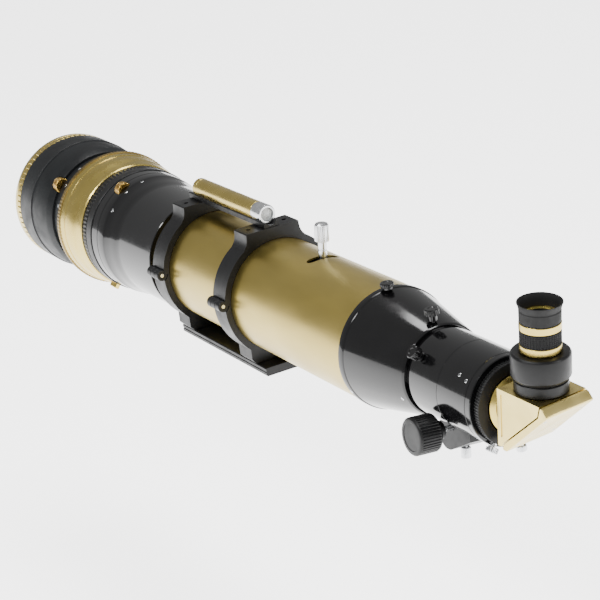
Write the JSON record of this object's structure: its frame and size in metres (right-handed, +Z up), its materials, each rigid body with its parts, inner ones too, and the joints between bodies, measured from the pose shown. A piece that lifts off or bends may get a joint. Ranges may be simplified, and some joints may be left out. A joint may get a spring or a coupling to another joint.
{
  "type": "solar refractor telescope",
  "caption": "Small solar refractor: gold tube in clamshell rings on a plate, double front filter, side tuner, rack focuser, mirror diagonal and eyepiece.",
  "frame": {"origin": "centre of the mounting plate's underside", "axes": "+X along the tube from the front filter to the eyepiece, +Z up away from the mounting plate, +Y to the clamp screws' side"},
  "size_m": [0.9422, 0.1442, 0.1681],
  "materials": {
    "gold": "satin gold anodised",
    "brass": "machined",
    "black_gloss": "gloss black",
    "black_satin": "satin black anodised",
    "black_matte": "matt black anodised",
    "rubber": "matt",
    "silver": "polished",
    "steel": "turned",
    "filter_glass": "coated red",
    "glass": "polished",
    "screen": "translucent",
    "mirror": "polished"
  },
  "bodies": {
    "mount": {"mounting_plate": "black_satin", "front_ring_lower": "black_satin", "rear_ring_lower": "black_satin", "front_hinge_pin": "silver", "rear_hinge_pin": "silver", "front_ring_bolt_near": "steel", "front_ring_bolt_far": "steel", "rear_ring_bolt_near": "steel", "rear_ring_bolt_far": "steel"},
    "clamp_tops": {"front_ring_upper": "black_satin", "rear_ring_upper": "black_satin", "finder_rail": "black_satin", "finder_tube": "gold", "finder_screen": "screen"},
    "front_clamp_knob": {"front_clamp_screw": "silver"},
    "rear_clamp_knob": {"rear_clamp_screw": "silver"},
    "tube": {"main_tube": "gold", "objective_cell": "black_matte", "objective_crown_lens": "glass", "objective_flint_lens": "glass", "front_adapter": "black_gloss", "coupling_ring": "black_satin", "tilt_housing": "gold", "front_wheel_ring": "black_matte", "filter_barrel": "black_matte", "filter_glass": "filter_glass", "filter_rim": "gold", "rear_cone": "black_gloss"},
    "front_wheel": {"front_tuning_wheel": "brass"},
    "front_etalon": {"front_etalon_cell": "black_satin", "front_etalon_plates": "glass"},
    "rear_wheel": {"rear_tuning_wheel": "brass"},
    "rear_etalon": {"rear_etalon_cell": "black_satin", "rear_etalon_plates": "glass"},
    "tuner": {"tuner_knob": "silver", "tuner_carrier": "black_satin", "inner_etalon_plates": "glass"},
    "cone_lock_front": {"cone_screw_front": "black_gloss"},
    "cone_lock_top": {"cone_screw_top": "black_gloss"},
    "focuser": {"focuser_body": "black_gloss", "pinion_housing": "black_satin"},
    "focuser_lock": {"focuser_screw": "black_gloss"},
    "tension_lock": {"tension_screw": "silver"},
    "focus_shaft": {"pinion_shaft": "steel", "focus_knob_near": "black_satin", "focus_knob_far": "black_satin"},
    "drawtube": {"drawtube": "silver", "eyepiece_adapter": "black_satin"},
    "adapter_lock_near": {"adapter_screw_near": "black_gloss"},
    "adapter_lock_low": {"adapter_screw_low": "black_gloss"},
    "diagonal": {"diagonal_body": "gold", "diagonal_cover": "gold", "diagonal_mirror": "mirror", "holder_base": "black_satin", "blocking_filter": "filter_glass"},
    "holder_clamp": {"holder_ring": "black_satin"},
    "eyepiece": {"eyepiece_body": "gold", "eyepiece_grip": "rubber", "eye_lens": "glass", "eyecup": "rubber"}
  },
  "joints": [
    {"name": "clamp_open", "type": "hinge", "parent": "mount", "child": "clamp_tops", "pos_m": [0, -0.0618, 0.0732], "axis": [1, 0, 0], "range_deg": [0, 100]},
    {"name": "front_clamp_turn", "type": "hinge", "parent": "clamp_tops", "child": "front_clamp_knob", "pos_m": [-0.0724, 0.066, 0.08], "axis": [0, 0, 1], "continuous": true},
    {"name": "rear_clamp_turn", "type": "hinge", "parent": "clamp_tops", "child": "rear_clamp_knob", "pos_m": [0.0588, 0.066, 0.08], "axis": [0, 0, 1], "continuous": true},
    {"name": "tube_balance", "type": "slide", "parent": "mount", "child": "tube", "axis": [1, 0, 0], "range_m": [-0.07, 0.008]},
    {"name": "front_wheel_turn", "type": "hinge", "parent": "tube", "child": "front_wheel", "pos_m": [-0.3294, -0.04714, 0.11059], "axis": [1, 0, 0], "range_deg": [-360, 360]},
    {"name": "front_etalon_tilt", "type": "hinge", "parent": "tube", "child": "front_etalon", "pos_m": [-0.27175, 0, 0.0682], "axis": [0, 0.6686, 0.7436], "range_deg": [-1, 1]},
    {"name": "rear_wheel_turn", "type": "hinge", "parent": "tube", "child": "rear_wheel", "pos_m": [-0.2098, -0.02576, 0.12283], "axis": [1, 0, 0], "range_deg": [-360, 360]},
    {"name": "rear_etalon_tilt", "type": "hinge", "parent": "tube", "child": "rear_etalon", "pos_m": [-0.20925, 0, 0.0682], "axis": [0, 0.9045, 0.4264], "range_deg": [-1, 1]},
    {"name": "tuner_turn", "type": "hinge", "parent": "tube", "child": "tuner", "pos_m": [0, 0, 0.0682], "axis": [1, 0, 0], "range_deg": [-12, 12]},
    {"name": "cone_lock_front_turn", "type": "hinge", "parent": "tube", "child": "cone_lock_front", "pos_m": [0.2785, -0.00227, 0.12616], "axis": [0, -0.0391, 0.9992], "continuous": true},
    {"name": "cone_lock_top_turn", "type": "hinge", "parent": "tube", "child": "cone_lock_top", "pos_m": [0.3455, -0.00091, 0.11819], "axis": [0, -0.0182, 0.9998], "continuous": true},
    {"name": "focuser_turn", "type": "hinge", "parent": "tube", "child": "focuser", "pos_m": [0.4, 0, 0.0682], "axis": [1, 0, 0], "continuous": true},
    {"name": "focuser_lock_turn", "type": "hinge", "parent": "focuser", "child": "focuser_lock", "pos_m": [0.368, -0.03469, 0.09842], "axis": [0, -0.754, 0.6568], "continuous": true},
    {"name": "tension_turn", "type": "hinge", "parent": "focuser", "child": "tension_lock", "pos_m": [0.3825, -0.00632, 0.00552], "axis": [0, -0.1004, -0.995], "continuous": true},
    {"name": "focus", "type": "slide", "parent": "focuser", "child": "drawtube", "axis": [1, 0, 0], "range_m": [0, 0.05]},
    {"name": "focus_knobs_turn", "type": "hinge", "parent": "focuser", "child": "focus_shaft", "pos_m": [0.388, -0.00364, 0.03208], "axis": [0, 0.995, -0.1004], "range_deg": [0, 716.2]},
    {"name": "adapter_lock_near_turn", "type": "hinge", "parent": "drawtube", "child": "adapter_lock_near", "pos_m": [0.4526, -0.02338, 0.03574], "axis": [0, -0.5844, -0.8115], "continuous": true},
    {"name": "adapter_lock_low_turn", "type": "hinge", "parent": "drawtube", "child": "adapter_lock_low", "pos_m": [0.4526, 0.00365, 0.02837], "axis": [0, 0.0913, -0.9958], "continuous": true},
    {"name": "diagonal_turn", "type": "hinge", "parent": "drawtube", "child": "diagonal", "pos_m": [0.46, 0, 0.0682], "axis": [1, 0, 0], "continuous": true},
    {"name": "holder_clamp_turn", "type": "hinge", "parent": "diagonal", "child": "holder_clamp", "pos_m": [0.4884, 0.00522, 0.08908], "axis": [0.0944, 0.0341, 0.995], "range_deg": [0, 60]},
    {"name": "eyepiece_slide", "type": "slide", "parent": "diagonal", "child": "eyepiece", "axis": [0.0944, 0.0341, 0.995], "range_m": [0, 0.03]}
  ],
  "couplings": [
    {"joint": "focus_knobs_turn", "follows": "focus", "rad_per_m": 250},
    {"joint": "front_wheel_turn", "follows": "front_etalon_tilt", "ratio": 360},
    {"joint": "rear_wheel_turn", "follows": "rear_etalon_tilt", "ratio": 360}
  ]
}
